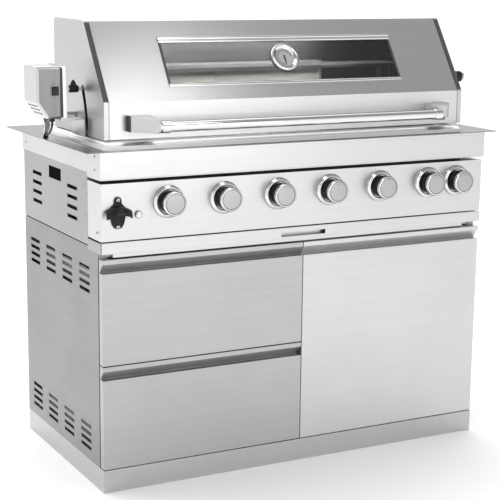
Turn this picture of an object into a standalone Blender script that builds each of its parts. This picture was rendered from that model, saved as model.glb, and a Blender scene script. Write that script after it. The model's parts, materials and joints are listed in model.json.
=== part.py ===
"""Six-burner gas barbecue grill on a cabinet with two drawers and one door.

Metres, +Z up, +X to the right as seen from the front, -Y towards the cook.
The origin is the middle of the cabinet's footprint, on the ground.
A depth is a distance behind the plane of the drawer fronts.
"""
import math

import bmesh
import bpy
from mathutils import Matrix, Vector

# Driving dimensions
WIDTH = 1.200
DEPTH = 0.600
SHEET = 0.0015
FIT = 0.0003
PLINTH_TOP = 0.0625
FRONTS_TOP = 0.6355
CABINET_TOP = 0.657
HEAD_BOTTOM = 0.660
PANEL_BOTTOM = 0.6835
PANEL_TOP = 0.8340
WORKTOP = 0.9180
LID_BOTTOM = 0.9375
LID_HALF = 0.565
BURNER_COUNT = 6
BURNER_PITCH = 0.1645
SPIT_DEPTH = 0.212
SPIT_HEIGHT = 1.060

# Derived dimensions
HALF = WIDTH / 2
FRONT = -DEPTH / 2
FACE_THICK = 0.0235
KNOB_HEIGHT = 0.778
BURNER_XS = [(i - (BURNER_COUNT - 1) / 2) * BURNER_PITCH for i in range(BURNER_COUNT)]
KNOB_XS = BURNER_XS + [0.510]
TINY = 1e-6


# ---------------------------------------------------------------- scene and materials
def clear_scene():
    for obj in list(bpy.data.objects):
        bpy.data.objects.remove(obj)


def metal(name, colour, roughness, metallic=1.0):
    """A Principled material with one colour, roughness and metallic value."""
    mat = bpy.data.materials.new(name)
    mat.use_nodes = True
    shader = mat.node_tree.nodes["Principled BSDF"]
    shader.inputs["Base Color"].default_value = (*colour, 1)
    shader.inputs["Roughness"].default_value = roughness
    shader.inputs["Metallic"].default_value = metallic
    return mat


def make_materials():
    return {
        "brushed": metal("brushed_steel", (0.72, 0.72, 0.72), 0.32),
        "satin": metal("satin_steel", (0.62, 0.62, 0.62), 0.42),
        "polished": metal("polished_steel", (0.82, 0.82, 0.82), 0.12),
        "inner": metal("heat_tinted_steel", (0.34, 0.33, 0.32), 0.5),
        "cast": metal("cast_iron", (0.06, 0.06, 0.06), 0.6),
        "black": metal("black_plastic", (0.02, 0.02, 0.02), 0.4, 0.0),
        "glass": metal("smoked_glass", (0.10, 0.11, 0.11), 0.05, 0.0),
        "dial": metal("white_dial", (0.85, 0.85, 0.83), 0.5, 0.0),
        "ceramic": metal("burner_ceramic", (0.60, 0.58, 0.54), 0.8, 0.0),
        "rubber": metal("lead_rubber", (0.02, 0.02, 0.02), 0.6, 0.0),
    }


# ---------------------------------------------------------------- objects and modifiers
def world_place(obj):
    """Where an unrotated object stands, down through its parents."""
    place = Vector((0, 0, 0))
    while obj:
        place += obj.location
        obj = obj.parent
    return place


def pivot(name, place, parent=None):
    """An empty on a joint's axis, which carries the pieces that move."""
    empty = bpy.data.objects.new(name, None)
    empty.parent = parent
    empty.location = Vector(place) - world_place(parent)
    bpy.context.scene.collection.objects.link(empty)
    return empty


def piece(name, bm, mat, parent=None, smooth=False):
    """Turn a mesh drawn in world coordinates into a named object."""
    bmesh.ops.recalc_face_normals(bm, faces=bm.faces)
    bmesh.ops.translate(bm, verts=bm.verts, vec=-world_place(parent))
    mesh = bpy.data.meshes.new(name)
    bm.to_mesh(mesh)
    bm.free()
    obj = bpy.data.objects.new(name, mesh)
    obj.parent = parent
    bpy.context.scene.collection.objects.link(obj)
    if mat:
        mesh.materials.append(mat)
    if smooth:
        mesh.shade_smooth()
        mesh.set_sharp_from_angle(angle=math.radians(35))
    return obj


def combine(obj, bm, operation):
    """Add a boolean with a hidden tool object to a piece."""
    tool = piece(obj.name + "_tool", bm, None)
    tool.hide_render = True
    tool.display_type = "WIRE"
    boolean = obj.modifiers.new(operation.lower(), "BOOLEAN")
    boolean.operation = operation
    boolean.object = tool


def cut(obj, bm):
    combine(obj, bm, "DIFFERENCE")


def weld(obj, bm):
    combine(obj, bm, "UNION")


# ---------------------------------------------------------------- shapes
def box(x, depth, z, bm=None):
    """A block from three (low, high) pairs; y is given as a depth."""
    bm = bm or bmesh.new()
    lows = Vector((x[0], FRONT + depth[0], z[0]))
    highs = Vector((x[1], FRONT + depth[1], z[1]))
    middle = Matrix.Translation((lows + highs) / 2)
    bmesh.ops.create_cube(bm, size=1, matrix=middle @ Matrix.Diagonal((*(highs - lows), 1)))
    return bm


def skin(bm, rings, closed):
    """Faces between loops of equal length; open stacks get two end caps."""
    pairs = list(zip(rings, rings[1:]))
    if closed:
        pairs.append((rings[-1], rings[0]))
    for lower, upper in pairs:
        count = max(len(lower), len(upper))
        for k in range(count):
            n = (k + 1) % count
            corners = (lower[k % len(lower)], lower[n % len(lower)],
                       upper[n % len(upper)], upper[k % len(upper)])
            bm.faces.new(dict.fromkeys(corners))
    if not closed:
        for end in (rings[0], rings[-1]):
            if len(end) > 1:
                bm.faces.new(end)
    return bm


def prism(outline, axis, start, end, bm=None):
    """Sweep an outline along an axis: X takes (depth, z), Y takes (x, z), Z takes (x, depth)."""
    bm = bm or bmesh.new()
    lift = {"X": lambda p, d: (d, FRONT + p[0], p[1]),
            "Y": lambda p, d: (p[0], FRONT + d, p[1]),
            "Z": lambda p, d: (p[0], FRONT + p[1], d)}[axis]
    rings = [[bm.verts.new(lift(p, d)) for p in outline] for d in (start, end)]
    return skin(bm, rings, closed=False)


def folded(path, thickness=SHEET):
    """Outline of a sheet folded along a path, with its thickness on the path's left."""
    points = [Vector(p) for p in path]
    sides = [(b - a).normalized().orthogonal() for a, b in zip(points, points[1:])]
    inner = []
    for i, point in enumerate(points):
        before = sides[max(i - 1, 0)]
        after = sides[min(i, len(sides) - 1)]
        inner.append(point + (before + after) * thickness / (1 + before.dot(after)))
    return points + inner[::-1]


def tray(x, depth, z, wall=SHEET):
    """An open-topped box with one wall thickness."""
    def loop(inset, height):
        xs = (x[0] + inset, x[1] - inset)
        ys = (FRONT + depth[0] + inset, FRONT + depth[1] - inset)
        corners = ((xs[0], ys[0]), (xs[1], ys[0]), (xs[1], ys[1]), (xs[0], ys[1]))
        return [bm.verts.new((*c, height)) for c in corners]
    bm = bmesh.new()
    rings = [loop(0, z[0]), loop(0, z[1]), loop(wall, z[1]), loop(wall, z[0] + wall)]
    return skin(bm, rings, closed=False)


def turned(profile, place, axis, segments=20, ring=False, bm=None):
    """Turn (radius, along) points about an axis; a radius of 0 is a pole."""
    bm = bm or bmesh.new()
    turn = Vector((0, 0, 1)).rotation_difference(Vector(axis)).to_matrix().to_4x4()
    frame = Matrix.Translation(place) @ turn
    rings = []
    for radius, along in profile:
        steps = segments if radius > TINY else 1
        angles = [2 * math.pi * k / steps for k in range(steps)]
        rings.append([bm.verts.new(frame @ Vector((radius * math.cos(a), radius * math.sin(a), along)))
                      for a in angles])
    return skin(bm, rings, closed=ring)


def rod(radius, place, axis, length, segments=12, bm=None):
    """A plain round bar that starts at a place."""
    return turned([(radius, 0), (radius, length)], place, axis, segments, bm=bm)


def spread(middle, pitch, count):
    """Evenly spaced positions about a middle."""
    return [middle + (i - (count - 1) / 2) * pitch for i in range(count)]


def slots(columns, rows, size, thickness_x, bm=None):
    """Horizontal slot cutters through a side panel: depths, heights and (length, height)."""
    bm = bm or bmesh.new()
    for depth in columns:
        for height in rows:
            box(thickness_x, (depth - size[0] / 2, depth + size[0] / 2),
                (height - size[1] / 2, height + size[1] / 2), bm)
    return bm


def side_span(side, near, far):
    """An x range on the left (-1) or right (+1) side."""
    return tuple(sorted((side * near, side * far)))


# ---------------------------------------------------------------- cabinet
RETURN = 0.025
SIDE_FRONT = 0.0262
LOUVRE_COLUMNS = spread(0.320, 0.130, 4)
LOUVRE_SIZE = (0.074, 0.010)


def channel(side, front, bottom, top):
    """A side panel with a return folded inwards at its front and back edges."""
    path = [(HALF - RETURN, front), (HALF, front), (HALF, DEPTH), (HALF - RETURN, DEPTH)]
    outline = [(side * p.x, p.y) for p in folded(path)]
    return prism(outline, "Z", bottom, top)


def cabinet(mats):
    piece("base_plinth", tray((-HALF, HALF), (0, DEPTH), (0, PLINTH_TOP)), mats["brushed"])
    floor_x = HALF - SHEET - FIT
    piece("cabinet_floor", box((-floor_x, floor_x), (SIDE_FRONT + SHEET + FIT, DEPTH - SHEET - FIT),
                               (PLINTH_TOP + FIT, PLINTH_TOP + FIT + SHEET)), mats["satin"])
    for side, name in ((-1, "cabinet_side_left"), (1, "cabinet_side_right")):
        panel = piece(name, channel(side, SIDE_FRONT, PLINTH_TOP + FIT, CABINET_TOP), mats["brushed"])
        louvres = bmesh.new()
        for middle in (0.127, 0.566):
            slots(LOUVRE_COLUMNS, spread(middle, 0.0207, 4), LOUVRE_SIZE,
                  side_span(side, HALF - 0.01, HALF + 0.01), louvres)
        cut(panel, louvres)
    back_front = DEPTH - 2 * SHEET - FIT
    back = piece("cabinet_back", box((-floor_x, floor_x), (back_front, back_front + SHEET),
                                     (PLINTH_TOP + SHEET + 3 * FIT, CABINET_TOP - 0.002)), mats["satin"])
    cut(back, box((0.15, 0.45), (back_front - 0.01, DEPTH), (0.12, 0.28)))
    divider_path = [(0.0125, SIDE_FRONT), (-SHEET / 2, SIDE_FRONT), (-SHEET / 2, back_front - FIT)]
    outline = [(p.x, p.y) for p in folded(divider_path)]
    piece("cabinet_divider", prism(outline, "Z", PLINTH_TOP + SHEET + 3 * FIT, FRONTS_TOP), mats["satin"])


def front_rail(mats):
    """The cross rail above the drawers, notched back at both ends."""
    back_edge, step, nose = 0.045, SIDE_FRONT + SHEET + FIT, 0.008
    outline = [(-floor_half(), back_edge), (-floor_half(), step), (-0.566, step), (-0.566, nose),
               (0.545, nose), (0.545, step), (floor_half(), step), (floor_half(), back_edge)]
    piece("cabinet_front_rail", prism(outline, "Z", 0.6382, 0.6488), mats["brushed"])


def floor_half():
    return HALF - SHEET - FIT


# ---------------------------------------------------------------- drawers and door
BAND = 0.013
GROOVE = 0.024
GROOVE_DEPTH = 0.020
FACE_GAP = 0.001


def pull_face(name, x, z, mat, parent):
    """A pan-shaped front panel whose top edge is folded into a full-width finger groove."""
    low, high = z
    sill = high - BAND - GROOVE
    outline = [(0, low), (0, sill), (GROOVE_DEPTH, sill), (0.0015, high - BAND), (0, high - BAND),
               (0, high), (FACE_THICK, high), (FACE_THICK, low)]
    face = piece(name, prism(outline, "X", *x), mat, parent)
    cut(face, box((x[0] + SHEET, x[1] - SHEET), (SHEET, FACE_THICK + 0.01),
                  (low + SHEET, sill - SHEET)))


def drawers(mats):
    heights = {"upper": ((0.3505, FRONTS_TOP), (0.365, 0.575)),
               "lower": ((0.0645, 0.3480), (0.078, 0.288))}
    for name, (face, bin_z) in heights.items():
        slide = pivot("drawer_%s_pivot" % name, (-HALF / 2, FRONT, face[0]))
        pull_face("drawer_front_" + name, (-HALF + FACE_GAP, -FACE_GAP), face, mats["brushed"], slide)
        inside = (-HALF + 0.036, -0.016)
        bin_obj = piece("drawer_bin_" + name, tray(inside, (FACE_THICK + FIT, 0.520), bin_z),
                        mats["satin"], slide)
        runners = bmesh.new()
        for x in ((inside[0] - 0.010, inside[0] + SHEET / 2), (inside[1] - SHEET / 2, inside[1] + 0.010)):
            box(x, (0.040, 0.515), (bin_z[0] + 0.06, bin_z[0] + 0.08), runners)
        weld(bin_obj, runners)


def door(mats):
    hinge = pivot("door_pivot", (HALF - 0.009, FRONT + 0.010, 0.0645))
    pull_face("door", (FACE_GAP, HALF - FACE_GAP), (0.0645, FRONTS_TOP), mats["brushed"], hinge)


# ---------------------------------------------------------------- grease tray
def grease_tray(mats):
    slide = pivot("grease_tray_pivot", (0, FRONT, 0.650))
    path = [(0.018, 0.6800), (0, 0.6800), (0, 0.6500), (0.018, 0.6500)]
    outline = [(p.x, p.y) for p in folded(path)]
    drip = piece("grease_tray", prism(outline, "X", -HALF, HALF), mats["brushed"], slide)
    weld(drip, tray((-0.480, 0.480), (0.0165, 0.500), (0.6508, 0.6722)))
    cut(drip, box((-0.070, 0.070), (-0.01, 0.008), (0.6550, 0.6670)))


# ---------------------------------------------------------------- grill head
FASCIA_HALF = 0.603
FASCIA_BOTTOM = 0.846
PLATE_UNDER = WORKTOP - 0.002
VENT_ROWS = spread(0.757, 0.0272, 4)
RIM_TOP = 0.9355


def head_sides(mats):
    for side, name in ((-1, "head_side_left"), (1, "head_side_right")):
        panel = piece(name, channel(side, 0.0965, HEAD_BOTTOM, PLATE_UNDER - FIT), mats["brushed"])
        through = side_span(side, HALF - 0.01, HALF + 0.01)
        holes = slots((0.209, 0.488), VENT_ROWS, LOUVRE_SIZE, through)
        box(through, (0.294, 0.390), (0.800, 0.834), holes)
        cut(panel, holes)
    back_front = DEPTH - 2 * SHEET - FIT
    back = piece("head_back", box((-floor_half(), floor_half()), (back_front, back_front + SHEET),
                                  (HEAD_BOTTOM, PLATE_UNDER - FIT)), mats["satin"])
    vents = bmesh.new()
    for x in spread(0, 0.13, 7):
        for z in spread(0.82, 0.03, 3):
            box((x - 0.045, x + 0.045), (back_front - 0.01, DEPTH), (z - 0.006, z + 0.006), vents)
    cut(back, vents)


def head_top(mats):
    """The fascia that wraps three sides, the flange plate on it and the raised rim."""
    nose = -0.003
    path = [(-FASCIA_HALF, DEPTH), (-FASCIA_HALF, nose), (FASCIA_HALF, nose), (FASCIA_HALF, DEPTH)]
    outline = [(p.x, p.y) for p in folded(path, -SHEET)]
    fascia = piece("head_fascia", prism(outline, "Z", FASCIA_BOTTOM, PLATE_UNDER - FIT), mats["brushed"])
    cut(fascia, box((-1, 1), (0.020, 1), (FASCIA_BOTTOM - 0.01, 0.855)))
    plate = piece("top_plate", box((-0.643, 0.643), (-0.012, 0.630), (PLATE_UNDER, WORKTOP)),
                  mats["brushed"])
    cut(plate, box((-0.520, 0.520), (0.075, 0.425), (PLATE_UNDER - 0.01, WORKTOP + 0.01)))
    rim(mats)


def rim(mats):
    """A stepped raised rim around the firebox, open at its front right corner."""
    steps = [(0.016, WORKTOP + FIT), (0.013, 0.9285), (0.004, 0.9315), (0, RIM_TOP)]
    bm = bmesh.new()
    rings = []
    for out, z in steps:
        rings.append(rim_loop(bm, (-0.572 - out, 0.572 + out), (0.022 - 1.3 * out, 0.455 + out), z))
    for z in (RIM_TOP, WORKTOP + FIT):
        rings.append(rim_loop(bm, (-0.515, 0.515), (0.080, 0.420), z))
    frame = piece("hood_rim", skin(bm, rings, closed=True), mats["brushed"])
    cut(frame, box((0.522, 0.62), (-0.03, 0.100), (WORKTOP - 0.01, RIM_TOP + 0.01)))
    weld(frame, box((0.5740, 0.5770), (SPIT_DEPTH - 0.017, SPIT_DEPTH + 0.017),
                    (0.920, SPIT_HEIGHT - 0.0065)))


def rim_loop(bm, x, depth, z):
    corners = ((x[0], depth[0]), (x[1], depth[0]), (x[1], depth[1]), (x[0], depth[1]))
    return [bm.verts.new((cx, FRONT + cy, z)) for cx, cy in corners]


# ---------------------------------------------------------------- control panel and knobs
PANEL_HALF = 0.601
BEZEL_STEPS = [(0.0335, -0.0005), (0.0420, -0.0005), (0.0420, 0.0025), (0.0385, 0.0050),
               (0.0360, 0.0080), (0.0335, 0.0080)]
FORWARD = (0, -1, 0)
BUTTON_X = -0.497
BUTTON_Z = 0.750


def control_panel(mats):
    panel = piece("control_panel", box((-PANEL_HALF, PANEL_HALF), (0, 0.093), (PANEL_BOTTOM, PANEL_TOP)),
                  mats["brushed"])
    cut(panel, box((-PANEL_HALF + SHEET, PANEL_HALF - SHEET), (SHEET, 0.2),
                   (PANEL_BOTTOM + SHEET, PANEL_TOP - SHEET)))
    cut(panel, box((-0.530, 0.530), (0.0785, 0.2), (PANEL_BOTTOM - 0.01, PANEL_TOP + 0.01)))
    rings = bmesh.new()
    holes = bmesh.new()
    for x in KNOB_XS:
        turned(BEZEL_STEPS, (x, FRONT, KNOB_HEIGHT), FORWARD, ring=True, bm=rings)
        rod(0.0055, (x, FRONT + 0.01, KNOB_HEIGHT), FORWARD, 0.02, bm=holes)
    rod(0.0087, (BUTTON_X, FRONT + 0.01, BUTTON_Z), FORWARD, 0.02, bm=holes)
    weld(panel, rings)
    cut(panel, holes)


def knobs(mats):
    """Each knob turns on a valve stem, and the stem slides in when the knob is pressed."""
    body = [(0, 0.034), (0.0043, 0.034), (0.0043, 0.010), (0.0290, 0.010), (0.0305, 0.012),
            (0.0295, 0.036), (0.0312, 0.038), (0.0312, 0.043), (0.0295, 0.045), (0, 0.045)]
    for number, x in enumerate(KNOB_XS, 1):
        place = (x, FRONT, KNOB_HEIGHT)
        push = pivot("stem_%d_pivot" % number, place)
        piece("valve_stem_%d" % number, rod(0.0040, (x, FRONT + 0.0150, KNOB_HEIGHT), FORWARD, 0.0485),
              mats["satin"], push, smooth=True)
        turn = pivot("knob_%d_pivot" % number, place, push)
        piece("knob_%d" % number, turned(body, place, FORWARD), mats["polished"], turn, smooth=True)


def light_button(mats):
    press = pivot("light_button_pivot", (BUTTON_X, FRONT, BUTTON_Z))
    profile = [(0, -0.012), (0.0080, -0.012), (0.0080, 0.0032), (0.0098, 0.0032), (0.0098, 0.0062),
               (0.0085, 0.0072), (0, 0.0072)]
    piece("light_button", turned(profile, (BUTTON_X, FRONT, BUTTON_Z), FORWARD), mats["polished"],
          press, smooth=True)


def gas_manifold(mats):
    """The supply tube behind the panel, with one valve body for each knob."""
    pipe = piece("gas_manifold", rod(0.011, (-0.46, FRONT + 0.052, KNOB_HEIGHT), (1, 0, 0), 1.03),
                 mats["satin"], smooth=True)
    valves = bmesh.new()
    for x in KNOB_XS:
        box((x - 0.012, x + 0.012), (0.0205, 0.078), (KNOB_HEIGHT - 0.014, KNOB_HEIGHT + 0.014), valves)
    weld(pipe, valves)


def bottle_opener(mats):
    """A cast wall opener: back plate, hood with claw, and two screw bosses."""
    x, top = -0.555, 0.800
    half = 0.012
    outline = [(x - half, 0.716), (x + half, 0.716), (x + 0.022, 0.735), (x + 0.022, 0.765),
               (x + half, 0.782), (x + half, top), (x - half, top), (x - half, 0.782),
               (x - 0.022, 0.765), (x - 0.022, 0.735)]
    opener = piece("bottle_opener", prism(outline, "Y", -0.0050, -FIT), mats["black"])
    hood = [(x - 0.037, 0.766), (x - 0.030, 0.776), (x + 0.030, 0.776), (x + 0.037, 0.766),
            (x + 0.034, 0.744), (x + 0.026, 0.738), (x + 0.024, 0.762), (x - 0.024, 0.762),
            (x - 0.026, 0.738), (x - 0.034, 0.744)]
    weld(opener, prism(hood, "Y", -0.028, -0.0040))
    plate = bmesh.new()
    box((x - 0.031, x + 0.031), (-0.030, -0.026), (0.750, 0.774), plate)
    weld(opener, plate)


# ---------------------------------------------------------------- fire, grates and gas
def firebox(mats):
    tub = piece("firebox", tray((-0.5145, 0.5145), (0.0805, 0.4195), (0.700, 0.9345)), mats["inner"])
    cut(tub, box((-0.15, 0.15), (0.20, 0.30), (0.69, 0.71)))


def burners(mats):
    rail = piece("burner_set", box((-0.44, 0.44), (0.370, 0.385), (0.790, 0.805)), mats["satin"])
    tubes = bmesh.new()
    for x in BURNER_XS:
        rod(0.014, (x, FRONT + 0.0830, 0.812), (0, 1, 0), 0.315, bm=tubes)
    weld(rail, tubes)
    rail = piece("heat_tents", box((-0.47, 0.47), (0.110, 0.118), (0.833, 0.838)), mats["satin"])
    tents = bmesh.new()
    for x in BURNER_XS:
        path = [(x - 0.055, 0.8345), (x, 0.8650), (x + 0.055, 0.8345)]
        prism(folded(path), "Y", 0.100, 0.395, tents)
    weld(rail, tents)


def cooking_grates(mats):
    width = 0.336
    for number, middle in enumerate(spread(0, 0.3415, 3), 1):
        grate = piece("cooking_grate_%d" % number,
                      box((middle - width / 2, middle + width / 2), (0.085, 0.415), (0.896, 0.905)),
                      mats["cast"])
        gaps = bmesh.new()
        for x in spread(middle, 0.0182, 18):
            box((x - 0.0058, x + 0.0058), (0.097, 0.403), (0.88, 0.92), gaps)
        cut(grate, gaps)


def warming_rack(mats):
    rack = piece("warming_rack", box((-0.480, 0.480), (0.255, 0.372), (1.094, 1.102)), mats["polished"])
    gaps = bmesh.new()
    for x in spread(0, 0.0235, 40):
        box((x - 0.0095, x + 0.0095), (0.263, 0.364), (1.08, 1.11), gaps)
    cut(rack, gaps)
    legs = bmesh.new()
    for side in (-1, 1):
        box(side_span(side, 0.470, 0.478), (0.368, 0.380), (0.9060, 1.1000), legs)
    weld(rack, legs)


def rear_burner(mats):
    """An infrared burner on the back wall, in front of the lid's rear panel."""
    housing = piece("rear_burner", box((-0.275, 0.275), (0.386, 0.4175), (1.020, 1.105)), mats["satin"])
    legs = bmesh.new()
    for side in (-1, 1):
        box(side_span(side, 0.245, 0.270), (0.405, 0.4165), (0.9060, 1.0300), legs)
    weld(housing, legs)
    cut(housing, box((-0.2735 + 0.02, 0.2735 - 0.02), (0.380, 0.400), (1.034, 1.092)))
    tiles = piece("rear_burner_tiles", box((-0.253, 0.253), (0.388, 0.3995), (1.0345, 1.0915)),
                  mats["ceramic"])
    seams = bmesh.new()
    for x in (-0.085, 0.085):
        box((x - 0.001, x + 0.001), (0.380, 0.391), (1.02, 1.11), seams)
    cut(tiles, seams)


# ---------------------------------------------------------------- lid
LID_OUTLINE = [(0.064, LID_BOTTOM), (0.064, 1.033), (0.202, 1.237), (0.222, 1.2405),
               (0.415, 1.2405), (0.428, 1.232), (0.430, LID_BOTTOM)]
HINGE_DEPTH = 0.435
HINGE_HEIGHT = 0.945
SHELL_HALF = LID_HALF - 0.015
SLOPE_LOW = Vector((0.064, 1.033))
SLOPE_DIR = (Vector((0.202, 1.237)) - SLOPE_LOW).normalized()
SLOPE_OUT = Vector((-SLOPE_DIR.y, SLOPE_DIR.x))
WINDOW_HALF = 0.3675
WINDOW_SPAN = (0.042, 0.195)
GAUGE_SPAN = 0.1197


def on_slope(along, out):
    """A (depth, z) point on the lid's sloping front."""
    return SLOPE_LOW + SLOPE_DIR * along + SLOPE_OUT * out


def slope_block(x, along, out):
    """A block square to the sloping front."""
    corners = [(along[0], out[0]), (along[1], out[0]), (along[1], out[1]), (along[0], out[1])]
    return prism([on_slope(*c) for c in corners], "X", *x)


def lid(mats):
    hinge = pivot("lid_pivot", (0, FRONT + HINGE_DEPTH, HINGE_HEIGHT))
    outline = folded(LID_OUTLINE, -SHEET)
    shell = piece("lid_shell", prism(outline, "X", -SHELL_HALF, SHELL_HALF), mats["brushed"], hinge)
    cut(shell, slope_block((-WINDOW_HALF, WINDOW_HALF), WINDOW_SPAN, (-0.01, 0.01)))
    for side, name in ((-1, "lid_end_left"), (1, "lid_end_right")):
        lid_end(side, name, mats, hinge)
    glass_half = WINDOW_HALF + 0.008
    glass = piece("window_glass", slope_block((-glass_half, glass_half),
                                              (WINDOW_SPAN[0] - 0.008, WINDOW_SPAN[1] + 0.008),
                                              (-SHEET - FIT - 0.004, -SHEET - FIT)), mats["glass"], hinge)
    middle = on_slope(GAUGE_SPAN, 0)
    outward = (0, SLOPE_OUT.x, SLOPE_OUT.y)
    centre = Vector((0, FRONT + middle.x, middle.y))
    cut(glass, rod(0.0065, centre - Vector(outward) * 0.02, outward, 0.04))
    gauge(mats, hinge, centre, outward)
    lid_handle(mats, hinge)


def lid_end(side, name, mats, hinge):
    """A pan-shaped end cap with a slot that lets the lid swing past the spit."""
    body = piece(name, prism(LID_OUTLINE, "X", *side_span(side, SHELL_HALF + FIT, LID_HALF)),
                 mats["brushed"], hinge)
    inner = [(p.x, p.y) for p in folded(LID_OUTLINE, -SHEET)[len(LID_OUTLINE):]]
    inner = [inner[0], *inner[1:-1], inner[-1]]
    deep = [(inner[0][0], LID_BOTTOM - 0.02), *inner, (inner[-1][0], LID_BOTTOM - 0.02)]
    deep = [p for p in deep if abs(p[1] - LID_BOTTOM) > TINY]
    cut(body, prism(deep, "X", *side_span(side, 0.5, LID_HALF - SHEET)))
    swing = Vector((SPIT_DEPTH - HINGE_DEPTH, SPIT_HEIGHT - HINGE_HEIGHT))
    half = 0.009
    arms = []
    for reach in (swing.length - half, swing.length + half):
        start = math.atan2(swing.y, -swing.x) + half / swing.length
        angles = [start - (start + 0.09) * k / 6 for k in range(7)]
        arms.append([(HINGE_DEPTH - reach * math.cos(a), HINGE_HEIGHT + reach * math.sin(a)) for a in angles])
    cut(body, prism(arms[0] + arms[1][::-1], "X", *side_span(side, LID_HALF - 0.008, LID_HALF + 0.01)))


def gauge(mats, hinge, centre, outward):
    """The round thermometer and the needle that turns on its face."""
    case = [(0, -0.020), (0.0060, -0.020), (0.0060, 0.0005), (0.0400, 0.0005), (0.0430, 0.004),
            (0.0430, 0.010), (0.0395, 0.0145), (0.0360, 0.0145), (0.0270, 0.0075), (0, 0.0075)]
    piece("thermometer_case", turned(case, centre, outward), mats["polished"], hinge, smooth=True)
    face = pivot("needle_pivot", centre, hinge)
    needle = [(-0.0035, 0.006), (0.0035, 0.006), (0.0008, -0.021), (-0.0008, -0.021)]
    bm = bmesh.new()
    lift = (0.0080, 0.0090)
    rings = [[bm.verts.new((x, centre.y + SLOPE_DIR.x * s + SLOPE_OUT.x * h,
                            centre.z + SLOPE_DIR.y * s + SLOPE_OUT.y * h)) for x, s in needle]
             for h in lift]
    piece("thermometer_needle", skin(bm, rings, closed=False), mats["black"], face)


HANDLE_DEPTH = -0.012
HANDLE_HEIGHT = 0.9755


def lid_handle(mats, hinge):
    half = 0.435
    grip = rod(0.0145, (-half, FRONT + HANDLE_DEPTH, HANDLE_HEIGHT), (1, 0, 0), 2 * half, 16)
    piece("lid_handle", grip, mats["polished"], hinge, smooth=True)
    for side, name in ((-1, "handle_arm_left"), (1, "handle_arm_right")):
        arm_outline = [(side * 0.500, 0.0637), (side * 0.464, HANDLE_DEPTH - 0.008),
                       (side * 0.456, HANDLE_DEPTH - 0.016), (side * 0.424, HANDLE_DEPTH - 0.016),
                       (side * 0.424, HANDLE_DEPTH + 0.016), (side * 0.430, 0.0637)]
        arm = piece(name, prism(arm_outline, "Z", HANDLE_HEIGHT - 0.019, HANDLE_HEIGHT + 0.019),
                    mats["brushed"], hinge)
        cut(arm, rod(0.0148, (side * 0.4355, FRONT + HANDLE_DEPTH, HANDLE_HEIGHT), (-side, 0, 0), 0.03, 16))


# ---------------------------------------------------------------- rotisserie
MOTOR_X = (-0.7105, -0.643)
MOTOR_DEPTHS = (0.160, 0.262)
MOTOR_Z = (0.988, 1.1235)
LEAD_START = Vector((-0.6595, FRONT + 0.190, 0.9760))
LEAD_END = Vector((-0.6225, FRONT + 0.345, WORKTOP + 0.0036))
LEAD_RADIUS = 0.003


def rotisserie(mats):
    outline = [(MOTOR_X[1], MOTOR_Z[0]), (MOTOR_X[1], MOTOR_Z[1]), (MOTOR_X[0], MOTOR_Z[1]),
               (MOTOR_X[0], 1.030), (-0.682, MOTOR_Z[0])]
    motor = piece("motor_housing", prism(outline, "Y", *MOTOR_DEPTHS), mats["brushed"])
    cut(motor, box((-0.6700, -0.6526), (0.150, 0.168), (1.0500, 1.0710)))
    cut(motor, rod(0.0075, (MOTOR_X[1] - 0.014, FRONT + SPIT_DEPTH, SPIT_HEIGHT), (1, 0, 0), 0.03))
    gland = [(0.0034, 0.0), (0.0075, 0.0), (0.0095, 0.009), (0.0095, 0.0125), (0.0034, 0.0125)]
    weld(motor, turned(gland, LEAD_START, (0, 0, 1), 12, ring=True))
    motor_bracket(mats)
    rocker = pivot("motor_switch_pivot", (-0.6613, FRONT + 0.164, 1.0605))
    tilt = [(0.1580, 1.0685), (0.1600, 1.0605), (0.1580, 1.0525), (0.1640, 1.0525), (0.1670, 1.0605),
            (0.1640, 1.0685)]
    piece("motor_switch", prism(tilt, "X", -0.6695, -0.6531), mats["black"], rocker)
    spit(mats)
    motor_lead(mats)


def motor_bracket(mats):
    """The plate the motor hangs on, its foot on the rim and a strap down to the flange."""
    gap = MOTOR_X[1] + FIT
    path = [(gap, 1.127), (gap, 0.981), (-0.5795, 0.981), (-0.5795, RIM_TOP + FIT)]
    outline = [(p.x, p.y) for p in folded(path, 0.003)]
    bracket = piece("motor_bracket", prism(outline, "Y", 0.168, 0.256), mats["brushed"])
    cut(bracket, rod(0.0075, (-0.66, FRONT + SPIT_DEPTH, SPIT_HEIGHT), (1, 0, 0), 0.04))


def spit(mats):
    """The square spit with its coupling, wing screw and end grip."""
    turn = pivot("spit_pivot", (0, FRONT + SPIT_DEPTH, SPIT_HEIGHT))
    side = 0.004
    bar = piece("spit_rod", box((-0.652, 0.655), (SPIT_DEPTH - side, SPIT_DEPTH + side),
                                (SPIT_HEIGHT - side, SPIT_HEIGHT + side)), mats["polished"], turn)
    centre = (FRONT + SPIT_DEPTH, SPIT_HEIGHT)
    collars = rod(0.0070, (-0.600, *centre), (1, 0, 0), 0.018)
    rod(0.0155, (0.640, *centre), (1, 0, 0), 0.031, 16, collars)
    weld(bar, collars)


def motor_lead(mats):
    """The short low-voltage lead from the motor's gland to a grommet in the flange."""
    hops = [(0, 0, 0.010), (0, 0, 0.002), (0, 0, -0.004), (0, 0.0035, -0.0120), (0.0010, 0.0115, -0.0195),
            (0.0035, 0.026, -0.0265), (0.009, 0.048, -0.0330), (0.0165, 0.082, -0.0415), (0.0285, 0.128, -0.0505)]
    route = [LEAD_START + Vector(hop) for hop in hops] + [LEAD_END]
    points = smooth_curve(route, 6)
    curve = bpy.data.curves.new("motor_lead", "CURVE")
    curve.dimensions = "3D"
    curve.bevel_depth = LEAD_RADIUS
    curve.bevel_resolution = 2
    curve.use_fill_caps = True
    spline = curve.splines.new("POLY")
    spline.points.add(len(points) - 1)
    for target, point in zip(spline.points, points):
        target.co = (*point, 1)
    curve.materials.append(mats["rubber"])
    lead = bpy.data.objects.new("motor_lead", curve)
    bpy.context.scene.collection.objects.link(lead)


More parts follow.
